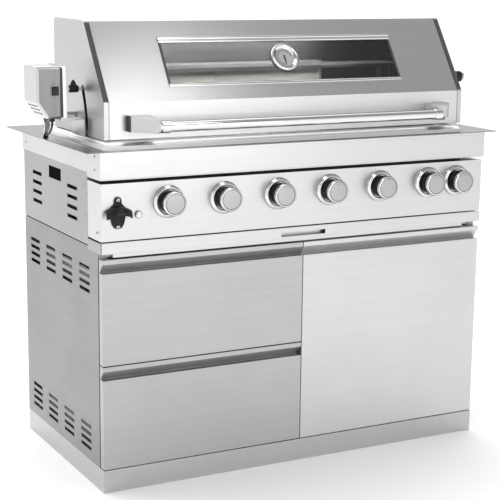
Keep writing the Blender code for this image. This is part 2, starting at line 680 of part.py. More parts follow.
def smooth_curve(route, steps):
    """Points of a Catmull-Rom curve through a route."""
    ends = [route[0] * 2 - route[1], *route, route[-1] * 2 - route[-2]]
    points = []
    for a, b, c, d in zip(ends, ends[1:], ends[2:], ends[3:]):
        for k in range(steps):
            t = k / steps
            points.append(0.5 * (2 * b + (c - a) * t + (2 * a - 5 * b + 4 * c - d) * t ** 2
                                 + (3 * b - a - 3 * c + d) * t ** 3))
    return [*points, route[-1]]


# ---------------------------------------------------------------- build
def build():
    clear_scene()
    mats = make_materials()
    for make in (cabinet, front_rail, drawers, door, grease_tray, head_sides, head_top, control_panel,
                 knobs, light_button, gas_manifold, bottle_opener, firebox, burners, cooking_grates,
                 warming_rack, rear_burner, lid, rotisserie):
        make(mats)


build()
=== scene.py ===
import json
import math

import bmesh
import bpy
from mathutils import Matrix, Vector


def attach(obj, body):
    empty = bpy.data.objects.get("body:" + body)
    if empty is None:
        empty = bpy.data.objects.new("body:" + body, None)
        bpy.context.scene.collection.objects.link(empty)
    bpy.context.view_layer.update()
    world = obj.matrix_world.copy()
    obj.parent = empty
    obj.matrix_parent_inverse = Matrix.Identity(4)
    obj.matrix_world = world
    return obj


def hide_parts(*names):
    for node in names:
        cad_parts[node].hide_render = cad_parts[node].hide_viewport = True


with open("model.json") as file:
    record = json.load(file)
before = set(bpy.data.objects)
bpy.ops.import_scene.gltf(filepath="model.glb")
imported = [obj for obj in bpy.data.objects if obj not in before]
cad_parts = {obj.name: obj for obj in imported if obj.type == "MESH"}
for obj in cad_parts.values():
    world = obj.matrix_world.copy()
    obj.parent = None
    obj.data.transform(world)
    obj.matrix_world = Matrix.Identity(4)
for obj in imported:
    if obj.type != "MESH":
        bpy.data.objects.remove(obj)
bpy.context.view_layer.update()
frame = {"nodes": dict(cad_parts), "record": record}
nodes = frame["nodes"]

# ---- Studio. A pale seamless floor, a long lens at standing height to the front left of the grill, and
# soft light: a sky that is greyer overhead in front and brighter behind, and four soft panels.
camera_place = Vector((-1.9044, -3.5688, 1.3884))
camera_heading, camera_dip, camera_tilt = (math.radians(a) for a in (27.98, 11.62, 0.70))


def place_camera():
    lens = bpy.data.cameras.new("camera")
    lens.lens = 100
    camera = bpy.data.objects.new("camera", lens)
    bpy.context.collection.objects.link(camera)
    ahead = Vector((math.sin(camera_heading) * math.cos(camera_dip),
                    math.cos(camera_heading) * math.cos(camera_dip), -math.sin(camera_dip)))
    level = Vector((math.cos(camera_heading), -math.sin(camera_heading), 0))
    upright = level.cross(ahead)
    right = level * math.cos(camera_tilt) + upright * math.sin(camera_tilt)
    up = upright * math.cos(camera_tilt) - level * math.sin(camera_tilt)
    camera.matrix_world = Matrix.Translation(camera_place) @ Matrix((right, up, -ahead)).transposed().to_4x4()
    bpy.context.scene.camera = camera


def soft_panel(name, place, aim, size, watts):
    lamp = bpy.data.lights.new(name, "AREA")
    lamp.shape, lamp.size, lamp.size_y, lamp.energy = "RECTANGLE", *size, watts
    panel = bpy.data.objects.new(name, lamp)
    bpy.context.collection.objects.link(panel)
    panel.location = place
    panel.rotation_euler = (Vector(aim) - Vector(place)).to_track_quat("-Z", "Y").to_euler()
    panel.visible_camera = False


def node(tree, kind, values=None, links=None, **settings):
    """Adds a node, sets its options and plain values, and links the rest of its inputs."""
    made = tree.nodes.new(kind)
    for key, value in settings.items():
        setattr(made, key, value)
    for key, value in (values or {}).items():
        made.inputs[key].default_value = value
    for key, source in (links or {}).items():
        tree.links.new(source, made.inputs[key])
    return made


def studio_sky(front_stops, rear_stops):
    """A sky whose brightness follows height, one way in front of the grill and another way behind it.
    Each stop is (sine of the height angle, brightness)."""
    world = bpy.data.worlds.new("studio_sky")
    world.use_nodes = True
    tree = world.node_tree
    way = node(tree, "ShaderNodeSeparateXYZ", {}, {0: node(tree, "ShaderNodeTexCoord").outputs["Generated"]})
    rear_share = node(tree, "ShaderNodeMapRange", {"From Min": -0.15, "From Max": 0.45},
                      {"Value": way.outputs["Y"]})
    blend = node(tree, "ShaderNodeMix", {}, {"Factor": rear_share.outputs["Result"]})
    for socket, stops in (("A", front_stops), ("B", rear_stops)):
        ramp = node(tree, "ShaderNodeFloatCurve", {}, {"Value": way.outputs["Z"]})
        curve = ramp.mapping.curves[0]
        ramp.mapping.clip_max_y = 4
        while len(curve.points) < len(stops):
            curve.points.new(0.5, 0.5)
        for point, stop in zip(curve.points, stops):
            point.location = stop
            point.handle_type = "VECTOR"
        ramp.mapping.update()
        tree.links.new(ramp.outputs["Value"], blend.inputs[socket])
    tree.links.new(blend.outputs["Result"], tree.nodes["Background"].inputs["Strength"])
    tree.nodes["Background"].inputs["Color"].default_value = (1, 1, 1, 1)
    bpy.context.scene.world = world


def metal_finish(name, tone, roughness, metallic=1.0):
    """A material with its plain values set; patterns are linked to it afterwards."""
    finish = bpy.data.materials.new(name)
    finish.use_nodes = True
    shader = finish.node_tree.nodes["Principled BSDF"]
    shader.inputs["Base Color"].default_value = (*tone, 1)
    shader.inputs["Roughness"].default_value = roughness
    shader.inputs["Metallic"].default_value = metallic
    return finish


def lay_floor(half):
    bm = bmesh.new()
    bmesh.ops.create_grid(bm, x_segments=2, y_segments=2, size=half)
    mesh = bpy.data.meshes.new("studio_floor")
    bm.to_mesh(mesh)
    bm.free()
    floor = bpy.data.objects.new("studio_floor", mesh)
    bpy.context.collection.objects.link(floor)
    white = metal_finish("studio_floor", (0.86, 0.86, 0.86), 0.8, 0.0)
    shader = white.node_tree.nodes["Principled BSDF"]
    shader.inputs["Emission Color"].default_value = (1, 1, 1, 1)
    shader.inputs["Emission Strength"].default_value = 0.2
    mesh.materials.append(white)


bpy.context.scene.view_settings.view_transform = "Standard"
place_camera()
lay_floor(60)
studio_sky([(0.0, 1.0), (0.22, 1.0), (0.48, 0.32), (0.80, 0.36), (1.0, 0.50)],
           [(0.0, 0.95), (0.22, 0.85), (0.42, 2.0), (1.0, 2.2)])
soft_panel("rear_panel", (-0.8, 2.4, 4.0), (-0.6, 1.6, 0), (6.0, 4.0), 70)
soft_panel("front_card", (0.40, -3.1, 1.30), (0.0, 0, 0.9), (1.8, 1.3), 14)
soft_panel("lid_panel", (-0.10, -0.85, 1.80), (-0.45, -0.2, 1.08), (0.45, 0.45), 2.0)
soft_panel("hood_lamp", (-0.05, -0.02, 1.20), (-0.05, 0.09, 1.06), (0.7, 0.04), 4.0)

# ---- Motor lead. A short black sheathed low-voltage lead, 6 mm thick. It leaves the gland under the
# rotisserie motor, drops, and goes into a grommet in the left flange, held at both its ends.
lead_radius = 0.003
lead_start = Vector((-0.6595, -0.110, 0.976))
lead_end = Vector((-0.6225, 0.045, 0.9216))
lead_hops = [(0, 0, 0.010), (0, 0, 0.002), (0, 0, -0.004), (0, 0.0035, -0.0120), (0.0010, 0.0115, -0.0195),
             (0.0035, 0.026, -0.0265), (0.009, 0.048, -0.0330), (0.0165, 0.082, -0.0415),
             (0.0285, 0.128, -0.0505)]


def smooth_route(points, steps):
    """Points on a smooth curve through every given point."""
    padded = [points[0], *points, points[-1]]
    route = []
    for p0, p1, p2, p3 in zip(padded, padded[1:], padded[2:], padded[3:]):
        for step in range(steps):
            t = step / steps
            route.append(0.5 * (2 * p1 + (p2 - p0) * t + (2 * p0 - 5 * p1 + 4 * p2 - p3) * t * t
                                + (3 * p1 - p0 - 3 * p2 + p3) * t ** 3))
    return route + [points[-1]]


def new_group(name, inputs, outputs):
    """An empty shader node group with number or vector inputs and number outputs."""
    group = bpy.data.node_groups.new(name, "ShaderNodeTree")
    for socket, kind, value in inputs:
        made = group.interface.new_socket(socket, in_out="INPUT", socket_type=kind)
        if value is not None:
            made.default_value = value
    for socket in outputs:
        group.interface.new_socket(socket, in_out="OUTPUT", socket_type="NodeSocketFloat")
    return group, group.nodes.new("NodeGroupInput"), group.nodes.new("NodeGroupOutput")


def dust_group():
    """Soft clouds of dust and handling marks, as a mask from 0 to 1."""
    group, given, made = new_group("dust_and_handling", [
        ("Place", "NodeSocketVector", None), ("Size", "NodeSocketFloat", 6.0),
        ("Amount", "NodeSocketFloat", 0.5)], ["Mask"])
    cloud = node(group, "ShaderNodeTexNoise", {"Detail": 4, "Roughness": 0.6},
                 {"Vector": given.outputs["Place"], "Scale": given.outputs["Size"]})
    ramp = node(group, "ShaderNodeMapRange", {"From Min": 0.42, "From Max": 0.72},
                {"Value": cloud.outputs["Fac"], "To Max": given.outputs["Amount"]})
    group.links.new(ramp.outputs["Result"], made.inputs["Mask"])
    return group


dust = dust_group()


def drive(tree, links):
    """Links patterns to the inputs of a finish's shader."""
    for name, source in links.items():
        tree.links.new(source, tree.nodes["Principled BSDF"].inputs[name])


def marks_of(tree, place, size, amount):
    """The mask of dust and handling marks at a place, its clouds size to the metre."""
    return node(tree, "ShaderNodeGroup", {"Size": size, "Amount": amount}, {"Place": place},
                node_tree=dust).outputs["Mask"]


def mix_colours(tree, share, first, second):
    """A colour that goes from first to second as the share goes from 0 to 1."""
    return node(tree, "ShaderNodeMix", {"A": (*first, 1), "B": (*second, 1)}, {"Factor": share},
                data_type="RGBA").outputs["Result"]


def moulded(name, tone, roughness, pebble, relief, dust_tone=0.10):
    """Black plastic or rubber: a fine pebbled skin, with a little dust on it."""
    finish = metal_finish(name, tone, roughness, 0.0)
    tree = finish.node_tree
    tree.nodes["Principled BSDF"].inputs["Specular IOR Level"].default_value = 0.22
    place = node(tree, "ShaderNodeTexCoord").outputs["Object"]
    skin = node(tree, "ShaderNodeTexNoise", {"Scale": pebble}, {"Vector": place})
    bump = node(tree, "ShaderNodeBump", {"Strength": relief, "Distance": 0.0003},
                {"Height": skin.outputs["Fac"]})
    dusty = mix_colours(tree, marks_of(tree, place, 25.0, 0.6), tone, [t + dust_tone for t in tone])
    drive(tree, {"Normal": bump.outputs["Normal"], "Base Color": dusty})
    return finish


lead_sheath = moulded("lead_sheath", (0.015, 0.015, 0.016), 0.5, 900, 0.3, 0.03)


def run_motor_lead():
    spline_data = bpy.data.curves.new("motor_lead_sheath", "CURVE")
    spline_data.dimensions = "3D"
    spline_data.bevel_depth = lead_radius
    spline_data.bevel_resolution = 4
    spline_data.use_fill_caps = True
    route = smooth_route([lead_start + Vector(hop) for hop in lead_hops] + [lead_end], 6)
    spline = spline_data.splines.new("POLY")
    spline.points.add(len(route) - 1)
    for point, place in zip(spline.points, route):
        point.co = (*place, 1)
    lead = bpy.data.objects.new("motor_lead_sheath", spline_data)
    bpy.context.collection.objects.link(lead)
    spline_data.materials.append(lead_sheath)
    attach(lead, "root")
    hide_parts("motor_lead")


run_motor_lead()

# ---- Cabinet. A carcass of 1.5 mm brushed stainless sheet, cut, louvred and folded, on a folded plinth.
# The grain runs level on every panel. The folds are small radii, so each edge carries a thin highlight.
fold_radius = 0.0011
crease = 35


def grain_group():
    """Brushed grain: fine streaks and broad bands, both from -0.5 to 0.5, drawn out along one direction."""
    group, given, made = new_group("brushed_grain", [("Place", "NodeSocketVector", None)],
                                   ["Streaks", "Bands"])
    for socket, stretch, detail in (("Streaks", 1.0, 4.0), ("Bands", 0.09, 2.0)):
        noise = node(group, "ShaderNodeTexNoise", {"Scale": stretch, "Detail": detail},
                     {"Vector": given.outputs["Place"]})
        shift = node(group, "ShaderNodeMath", {1: 0.5}, {0: noise.outputs["Fac"]}, operation="SUBTRACT")
        group.links.new(shift.outputs["Value"], made.inputs[socket])
    return group


grain = grain_group()


def scaled_sum(tree, base, terms):
    """A number socket that is base plus each (socket, factor) in turn."""
    total = None
    for source, factor in terms:
        step = node(tree, "ShaderNodeMath", {1: factor, 2: base}, {0: source}, operation="MULTIPLY_ADD")
        if total:
            tree.links.new(total, step.inputs[2])
        total = step.outputs["Value"]
    return total


def brushed(name, tone, roughness, along, contrast=0.05, relief=0.05):
    """Brushed stainless. along is how slowly the grain changes on X, Y and Z, per metre."""
    finish = metal_finish(name, (tone, tone, tone), roughness)
    tree = finish.node_tree
    place = node(tree, "ShaderNodeTexCoord").outputs["Object"]
    stretch = node(tree, "ShaderNodeMapping", {"Scale": along}, {"Vector": place})
    lines = node(tree, "ShaderNodeGroup", {}, {"Place": stretch.outputs["Vector"]}, node_tree=grain)
    marks = marks_of(tree, place, 3.5, 1.0)
    shade = scaled_sum(tree, tone, [(lines.outputs["Streaks"], contrast), (lines.outputs["Bands"], contrast),
                                    (marks, -0.02)])
    colour = node(tree, "ShaderNodeCombineColor", {}, {"Red": shade, "Green": shade, "Blue": shade})
    bump = node(tree, "ShaderNodeBump", {"Strength": relief, "Distance": 0.0002},
                {"Height": lines.outputs["Streaks"]})
    drive(tree, {"Base Color": colour.outputs["Color"], "Normal": bump.outputs["Normal"],
                 "Roughness": scaled_sum(tree, roughness, [(lines.outputs["Streaks"], 0.10), (marks, 0.03)])})
    return finish


def finish_mesh(bm, name, finish, body, stands_for=(), edge=0.0, flat_below=crease, rounds=2):
    """Turns a bmesh into a piece on a body, with small edge rounds. Faces that meet at less than flat_below
    degrees are shaded as one smooth surface."""
    mesh = bpy.data.meshes.new(name)
    bm.to_mesh(mesh)
    bm.free()
    made = bpy.data.objects.new(name, mesh)
    bpy.context.collection.objects.link(made)
    mesh.materials.append(finish)
    mesh.shade_smooth()
    mesh.set_sharp_from_angle(angle=math.radians(flat_below))
    if edge:
        rounding = made.modifiers.new("edge", "BEVEL")
        rounding.harden_normals = True
        rounding.width = edge
        rounding.segments = rounds
        rounding.limit_method = "ANGLE"
        rounding.angle_limit = math.radians(flat_below)
        rounding.miter_outer = "MITER_ARC"
    weighted = made.modifiers.new("flat_faces", "WEIGHTED_NORMAL")
    weighted.keep_sharp = True
    weighted.weight = 100
    applied = bpy.data.meshes.new_from_object(made.evaluated_get(bpy.context.evaluated_depsgraph_get()))
    made.modifiers.clear()
    made.data = applied
    applied.name = name
    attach(made, body)
    if stands_for:
        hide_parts(*stands_for)
    return made


def node_shape(name):
    """The solid shape of a frame node, its loose triangles merged and its flats made whole."""
    bm = bmesh.new()
    bm.from_mesh(nodes[name].data)
    bmesh.ops.remove_doubles(bm, verts=bm.verts, dist=1e-6)
    bmesh.ops.dissolve_limit(bm, angle_limit=math.radians(0.5), verts=bm.verts, edges=bm.edges)
    return bm


def body_of_node(name):
    return next(body for body, held in frame["record"]["behaviour"]["bodies"].items() if name in held)


def folded_sheets(names, finish, edge=fold_radius):
    """Stands in for sheet nodes with the same sheets, their folds and cut edges rounded."""
    for name in names:
        finish_mesh(node_shape(name), name + "_sheet", finish, body_of_node(name), [name],
                    edge)


along_x, along_y = (3.0, 800.0, 800.0), (800.0, 3.0, 800.0)
# Painted light and shade: copies of one stainless sheet, the sides painted half as bright as the fronts and
# the plinth a little darker, for the light each gets.
panel_steel = brushed("panel_steel", 0.64, 0.34, along_x)
side_steel = brushed("side_steel", 0.32, 0.42, along_y)
plinth_steel = brushed("plinth_steel", 0.54, 0.36, along_x)
inner_steel = brushed("inner_steel", 0.52, 0.45, along_y, 0.08)
folded_sheets(["base_plinth"], plinth_steel)
folded_sheets(["cabinet_side_left", "cabinet_side_right"], side_steel, 0.0)
folded_sheets(["cabinet_floor", "cabinet_back", "cabinet_divider"], inner_steel, 0.0)
folded_sheets(["cabinet_front_rail"], panel_steel, 0.0008)

# ---- Drawers, door and drip tray. Each front is a folded pan whose top edge turns in to make a
# full-width finger groove; the drawers carry open bins on telescopic slides.
# Painted shade: the drawer fronts are a darker copy of the door's steel, for the shade they stand in.
drawer_steel = brushed("drawer_steel", 0.47, 0.36, along_x)
door_steel = brushed("door_steel", 0.62, 0.36, along_x)
folded_sheets(["drawer_front_upper", "drawer_front_lower"], drawer_steel)
folded_sheets(["door"], door_steel)
folded_sheets(["drawer_bin_upper", "drawer_bin_lower"], inner_steel, 0.0)
folded_sheets(["grease_tray"], panel_steel, 0.0006)

# ---- Head. Folded sides, vented back, a deep fascia wrapped round three sides, the counter flange
# on top of it and a stepped rim round the fire, all in the same brushed sheet.
# Painted light and shade: copies of the panel steel, the sides and the top flange painted darker and the rim
# painted lighter, for the light each gets.
head_side_steel = brushed("head_side_steel", 0.40, 0.38, along_y)
wing_steel = brushed("wing_steel", 0.22, 0.30, along_x)
rim_steel = brushed("rim_steel", 0.84, 0.30, along_x)
folded_sheets(["head_side_left", "head_side_right"], head_side_steel, 0.0)
folded_sheets(["head_back"], inner_steel, 0.0)
folded_sheets(["head_fascia"], panel_steel)
folded_sheets(["top_plate"], wing_steel, 0.0006)
folded_sheets(["hood_rim"], rim_steel, 0.0009)

# ---- Fire. A dark heat-stained steel tub, six burner tubes under steel tents, cast grates in three
# panels, a warming rack and a ceramic rear burner.
heat_steel = brushed("heat_steel", 0.16, 0.55, along_y, 0.10, 0.2)
cast_iron = moulded("cast_iron", (0.035, 0.034, 0.033), 0.55, 300, 0.8, 0.05)
folded_sheets(["firebox"], heat_steel, 0.0)
folded_sheets(["burner_set", "heat_tents", "gas_manifold", "rear_burner", "warming_rack"], inner_steel, 0.0)
folded_sheets(["cooking_grate_1", "cooking_grate_2", "cooking_grate_3"], cast_iron, 0.0012)


def fired_ceramic():
    """Fired ceramic: pale, rough, with a close pattern of small gas holes, each painted dark for the shade
    inside it.
    """
    finish = metal_finish("burner_ceramic", (0.70, 0.68, 0.64), 0.9, 0.0)
    tree = finish.node_tree
    place = node(tree, "ShaderNodeTexCoord").outputs["Object"]
    holes = node(tree, "ShaderNodeTexVoronoi", {"Scale": 330, "Randomness": 0.0}, {"Vector": place})
    mask = node(tree, "ShaderNodeMapRange", {"From Min": 0.22, "From Max": 0.34},
                {"Value": holes.outputs["Distance"]})
    bump = node(tree, "ShaderNodeBump", {"Distance": 0.0008}, {"Height": mask.outputs["Result"]})
    # Painted shade: the holes are coloured dark for the shade inside them.
    colour = mix_colours(tree, mask.outputs["Result"], (0.16, 0.14, 0.12), (0.72, 0.70, 0.66))
    drive(tree, {"Base Color": colour, "Normal": bump.outputs["Normal"]})
    return finish


folded_sheets(["rear_burner_tiles"], fired_ceramic(), 0.0006)

# ---- Screws. Cross-headed stainless pan screws hold the head's panels, the fascia, the back and the
# small fittings. Each is a low dome, 3 to 12 mm across, with a near-black cross on it as painted shade for
# its recess.


def polished(name, tone, roughness, marks_amount=0.08, painted_rim_shade_share=0.12):
    """Polished or chromed steel: faint handling marks in its gloss, and a painted dark reflection in its
    colour where it turns away.
    """
    finish = metal_finish(name, (tone, tone, tone), roughness)
    tree = finish.node_tree
    marks = marks_of(tree, node(tree, "ShaderNodeTexCoord").outputs["Object"], 30.0, 1.0)
    # Painted dark reflection: the base colour darkens towards the rims that turn away from the view.
    turn = node(tree, "ShaderNodeMapRange", {"From Min": 0.36, "From Max": 0.62},
                {"Value": node(tree, "ShaderNodeLayerWeight").outputs["Facing"]},
                interpolation_type="SMOOTHSTEP")
    drive(tree, {"Roughness": scaled_sum(tree, roughness, [(marks, marks_amount)]),
                 "Base Color": mix_colours(tree, turn.outputs["Result"], [tone] * 3,
                                           [tone * painted_rim_shade_share] * 3)})
    return finish


screw_steel = polished("screw_steel", 0.66, 0.22)
# Painted shade: a near-black for the shade in screw recesses and vent holes.
recess_shade = moulded("recess_shade", (0.02, 0.02, 0.02), 0.6, 900, 0.2, 0.02)


def geometry_tree(name, inputs):
    """An empty Geometry Nodes tree with a Geometry input, the named inputs and a Geometry output."""
    tree = bpy.data.node_groups.new(name, "GeometryNodeTree")
    tree.interface.new_socket("Geometry", in_out="INPUT", socket_type="NodeSocketGeometry")
    for socket, kind in inputs:
        tree.interface.new_socket(socket, in_out="INPUT", socket_type="NodeSocket" + kind)
    tree.interface.new_socket("Geometry", in_out="OUTPUT", socket_type="NodeSocketGeometry")
    return tree, tree.nodes.new("NodeGroupInput"), tree.nodes.new("NodeGroupOutput")


def painted_copies(tree, points, shape, finish, **turns):
    """Sets a shape out on every point, turns the copies into plain mesh and gives them a finish."""
    set_out = node(tree, "GeometryNodeInstanceOnPoints", {}, {"Points": points, "Instance": shape, **turns})
    real = node(tree, "GeometryNodeRealizeInstances", {}, {"Geometry": set_out.outputs[0]})
    painted = node(tree, "GeometryNodeSetMaterial", {}, {"Geometry": real.outputs[0], "Material": finish})
    return painted.outputs[0]


def calc(tree, operation, *sources, kind="Math"):
    """The result of a Math or VectorMath node on the sources, in order."""
    return node(tree, "ShaderNode" + kind, {}, dict(enumerate(sources)), operation=operation).outputs[0]


def screw_tree():
    """Low domes with a dark cross on each, turned the way their point faces."""
    tree, given, made = geometry_tree("cross_head_screws", [
        ("Radius", "Float"), ("Rise", "Float"), ("Head", "Material"), ("Cross", "Material")])
    ask = given.outputs
    facing = node(tree, "GeometryNodeInputNamedAttribute", {"Name": "facing"}, data_type="FLOAT_VECTOR")
    turn = node(tree, "FunctionNodeAlignRotationToVector", {}, {"Vector": facing.outputs["Attribute"]},
                axis="Z")
    size = node(tree, "ShaderNodeCombineXYZ", {}, {"X": ask["Radius"], "Y": ask["Radius"], "Z": ask["Rise"]})
    dome = node(tree, "GeometryNodeMeshUVSphere", {"Segments": 20, "Rings": 10, "Radius": 1.0})
    bars = node(tree, "GeometryNodeJoinGeometry")
    for bar_size in ((1.2, 0.22, 0.3), (0.22, 1.2, 0.3)):
        bar = node(tree, "GeometryNodeMeshCube", {"Size": bar_size})
        lifted = node(tree, "GeometryNodeTransform", {"Translation": (0, 0, 0.86)},
                      {"Geometry": bar.outputs["Mesh"]})
        tree.links.new(lifted.outputs["Geometry"], bars.inputs["Geometry"])
    whole = node(tree, "GeometryNodeJoinGeometry")
    for shape, paint in ((dome.outputs["Mesh"], "Head"), (bars.outputs["Geometry"], "Cross")):
        heads = painted_copies(tree, ask["Geometry"], shape, ask[paint],
                               Rotation=turn.outputs["Rotation"], Scale=size.outputs["Vector"])
        tree.links.new(heads, whole.inputs["Geometry"])
    tree.links.new(whole.outputs["Geometry"], made.inputs["Geometry"])
    return tree


def grow(tree, name, values, body, points=None, place=None):
    """Runs a Geometry Nodes tree on a carrier mesh and keeps its result as one plain piece on a body."""
    carrier = bpy.data.meshes.new(name)
    if points:
        carrier.from_pydata([p for p, _ in points], [], [])
        facing = carrier.attributes.new("facing", "FLOAT_VECTOR", "POINT")
        for i, (_, way) in enumerate(points):
            facing.data[i].vector = way
    made = bpy.data.objects.new(name, carrier)
    bpy.context.collection.objects.link(made)
    growth = made.modifiers.new("growth", "NODES")
    growth.node_group = tree
    for socket in tree.interface.items_tree:
        if socket.in_out == "INPUT" and socket.name in values:
            growth[socket.identifier] = values[socket.name]
    grown = bpy.data.meshes.new_from_object(made.evaluated_get(bpy.context.evaluated_depsgraph_get()))
    made.modifiers.clear()
    grown.name = name
    if place:
        grown.transform(place)
    made.data = grown
    grown.shade_smooth()
    grown.set_sharp_from_angle(angle=math.radians(crease))
    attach(made, body)
    return made


screws = screw_tree()
left, right, back, front = (-1, 0, 0), (1, 0, 0), (0, 1, 0), (0, -1, 0)
panel_screws = []
for way, side in ((left, -1), (right, 1)):
    panel_screws += [((side * 0.6030, y, z), way) for y, z in ((0.267, 0.8775), (-0.270, 0.9025),
                                                               (-0.269, 0.8683))]
    panel_screws += [((side * 0.6010, -0.276, 0.7054), way)]
small_screws = [((side * 0.6000, y, z), way) for way, side in ((left, -1), (right, 1))
                for y, z in ((-0.181, 0.818), (-0.197, 0.796), (-0.187, 0.737))]
back_screws = [((x, 0.3000, z), back) for x in (-0.57, -0.19, 0.19, 0.57) for z in (0.690, 0.890)]
back_screws += [((x, 0.2982, z), back) for x in (-0.55, -0.18, 0.0, 0.55) for z in (0.09, 0.36, 0.62)]


def drive_screws(name, radius, rise, places, head=screw_steel):
    """Cross-headed screws on the fixed body, at (place, facing) pairs."""
    grow(screws, name, {"Radius": radius, "Rise": rise, "Head": head, "Cross": recess_shade}, "root",
         places)


drive_screws("panel_screws", 0.0048, 0.0034, panel_screws)
drive_screws("small_screws", 0.0032, 0.0022, small_screws)
drive_screws("back_screws", 0.0040, 0.0020, back_screws)

# ---- Controls. Seven knobs on valve stems, each behind a pressed and polished bezel ring: a ribbed black
# waist, a chromed cap with a satin face, a grey groove round the face and a small dark mark at the top.
panel_front = -0.300
knob_height = 0.778
knob_places = (-0.41125, -0.24675, -0.08225, 0.08225, 0.24675, 0.41125, 0.510)


def turned(profile, place, axis, segments=72, ring=False):
    """A turned solid from (radius, height) points along an axis; a ring joins its last point to its first."""
    bm = bmesh.new()
    turn = Vector(axis).to_track_quat("Z", "Y").to_matrix()
    rows = []
    for radius, height in profile:
        count = segments if radius else 1
        rows.append([bm.verts.new(Vector(place) + turn @ Vector((radius * math.cos(a), radius * math.sin(a),
                                                                 height)))
                     for a in (math.tau * k / segments for k in range(count))])
    for low, high in zip(rows, rows[1:] + (rows[:1] if ring else [])):
        for k in range(segments):
            corners = (low[k % len(low)], low[(k + 1) % len(low)], high[(k + 1) % len(high)],
                       high[k % len(high)])
            bm.faces.new(list(dict.fromkeys(corners)))
    bmesh.ops.recalc_face_normals(bm, faces=bm.faces)
    return bm


def ring_tree():
    """Small bars set out round a circle: ribs on a grip or ticks on a dial."""
    tree, given, made = geometry_tree("ring_of_bars", [
        ("Radius", "Float"), ("Count", "Int"), ("Sweep", "Float"), ("Start", "Float"), ("Bar", "Vector"),
        ("Rise", "Float"), ("Finish", "Material")])
    ask = given.outputs
    points = node(tree, "GeometryNodePoints", {}, {"Count": ask["Count"]})
    share = calc(tree, "DIVIDE", node(tree, "GeometryNodeInputIndex").outputs[0], ask["Count"])
    angle = calc(tree, "MULTIPLY_ADD", share, ask["Sweep"], ask["Start"])
    spin = node(tree, "ShaderNodeCombineXYZ", {}, {"Z": angle})
    arm = node(tree, "ShaderNodeCombineXYZ", {}, {"X": ask["Radius"], "Z": ask["Rise"]})
    out = node(tree, "ShaderNodeVectorRotate", {}, {"Vector": arm.outputs[0], "Angle": angle},
               rotation_type="Z_AXIS")
    moved = node(tree, "GeometryNodeSetPosition", {}, {"Geometry": points.outputs[0],
                                                       "Position": out.outputs[0]})
    bar = node(tree, "GeometryNodeMeshCube", {}, {"Size": ask["Bar"]})
    bars = painted_copies(tree, moved.outputs[0], bar.outputs[0], ask["Finish"], Rotation=spin.outputs[0])
    tree.links.new(bars, made.inputs[0])
    return tree


def along_axis(place, axis, level=(0, 0, 1)):
    """A frame at place: its Z along the axis and its Y nearest to level."""
    z = Vector(axis).normalized()
    y = (Vector(level) - z * z.dot(level)).normalized()
    return Matrix.Translation(place) @ Matrix((y.cross(z), y, z)).transposed().to_4x4()


ring_of_bars = ring_tree()


def set_bars(name, radius, count, bar, rise, finish, body, place, sweep=math.tau,
             start=0.0):
    """Equal bars round a circle in the XY plane of place: ribs, a knurl or printed ticks."""
    grow(ring_of_bars, name, {"Radius": radius, "Count": count, "Sweep": sweep, "Start": start, "Bar": bar,
                              "Rise": rise, "Finish": finish}, body, place=place)


chrome = polished("chrome", 0.78, 0.10)
satin_cap = brushed("satin_cap", 0.45, 0.33, (60.0, 900.0, 900.0), 0.04)
groove_grey = moulded("groove_grey", (0.16, 0.16, 0.16), 0.5, 600, 0.1, 0.05)
knob_black = moulded("knob_black", (0.018, 0.018, 0.019), 0.42, 1200, 0.2, 0.03)
bezel = [(0.0440, -0.0002), (0.0440, 0.0030), (0.0430, 0.0055), (0.0405, 0.0064), (0.0392, 0.0070),
         (0.0386, 0.0086), (0.0368, 0.0093), (0.0345, 0.0090), (0.0333, 0.0075), (0.0330, -0.0002)]
waist = [(0, 0.0100), (0.0290, 0.0100), (0.0300, 0.0110), (0.0300, 0.0140), (0.0282, 0.0150),
         (0.0282, 0.0345), (0, 0.0345)]
cap = [(0, 0.0340), (0.0312, 0.0340), (0.0327, 0.0352), (0.0332, 0.0375), (0.0331, 0.0405), (0.0320, 0.0434),
       (0.0300, 0.0449), (0.0284, 0.0449), (0.0279, 0.0436), (0, 0.0436)]
groove = [(0, 0.0434), (0.0281, 0.0434), (0.0281, 0.0439), (0, 0.0439)]
face = [(0, 0.0437), (0.0258, 0.0437), (0.0261, 0.0444), (0.0254, 0.0448), (0, 0.0450)]
mark = [(0, 0.0440), (0.0013, 0.0440), (0.0011, 0.0452), (0, 0.0453)]
mark_rise = Vector((0, 0, 0.0205))
for number, x in enumerate(knob_places, 1):
    knob, dial, seat = "knob_%d" % number, "dial_%d" % number, (x, panel_front, knob_height)
    finish_mesh(turned(bezel, seat, front, 96, True), knob + "_bezel", chrome, "root",
                flat_below=50)
    finish_mesh(turned(waist, seat, front), knob + "_waist", knob_black, dial)
    set_bars(knob + "_ribs", 0.0286, 60, (0.0020, 0.0014, 0.0180), 0.0245, knob_black, dial,
             along_axis(seat, front))
    finish_mesh(turned(cap, seat, front, 96), knob + "_cap", chrome, dial, [knob],
                flat_below=50)
    finish_mesh(turned(groove, seat, front), knob + "_groove", groove_grey, dial)
    finish_mesh(turned(face, seat, front), knob + "_face", satin_cap, dial)
    finish_mesh(turned(mark, Vector(seat) + mark_rise, front, 16), knob + "_mark", knob_black,
                dial)
folded_sheets(["valve_stem_%d" % n for n in range(1, 8)], inner_steel, 0.0)
folded_sheets(["control_panel"], panel_steel, 0.0009)


sides = ((-1, "left"), (1, "right"))


def plate(name, low, high, finish):
    """A flat strip of sheet on the fixed body, between two opposite corners."""
    bm = bmesh.new()
    bmesh.ops.create_cube(bm, size=1.0)
    for corner in bm.verts:
        corner.co = Vector([(low, high)[corner.co[k] > 0][k] for k in range(3)])
    finish_mesh(bm, name, finish, "root", edge=0.0003)


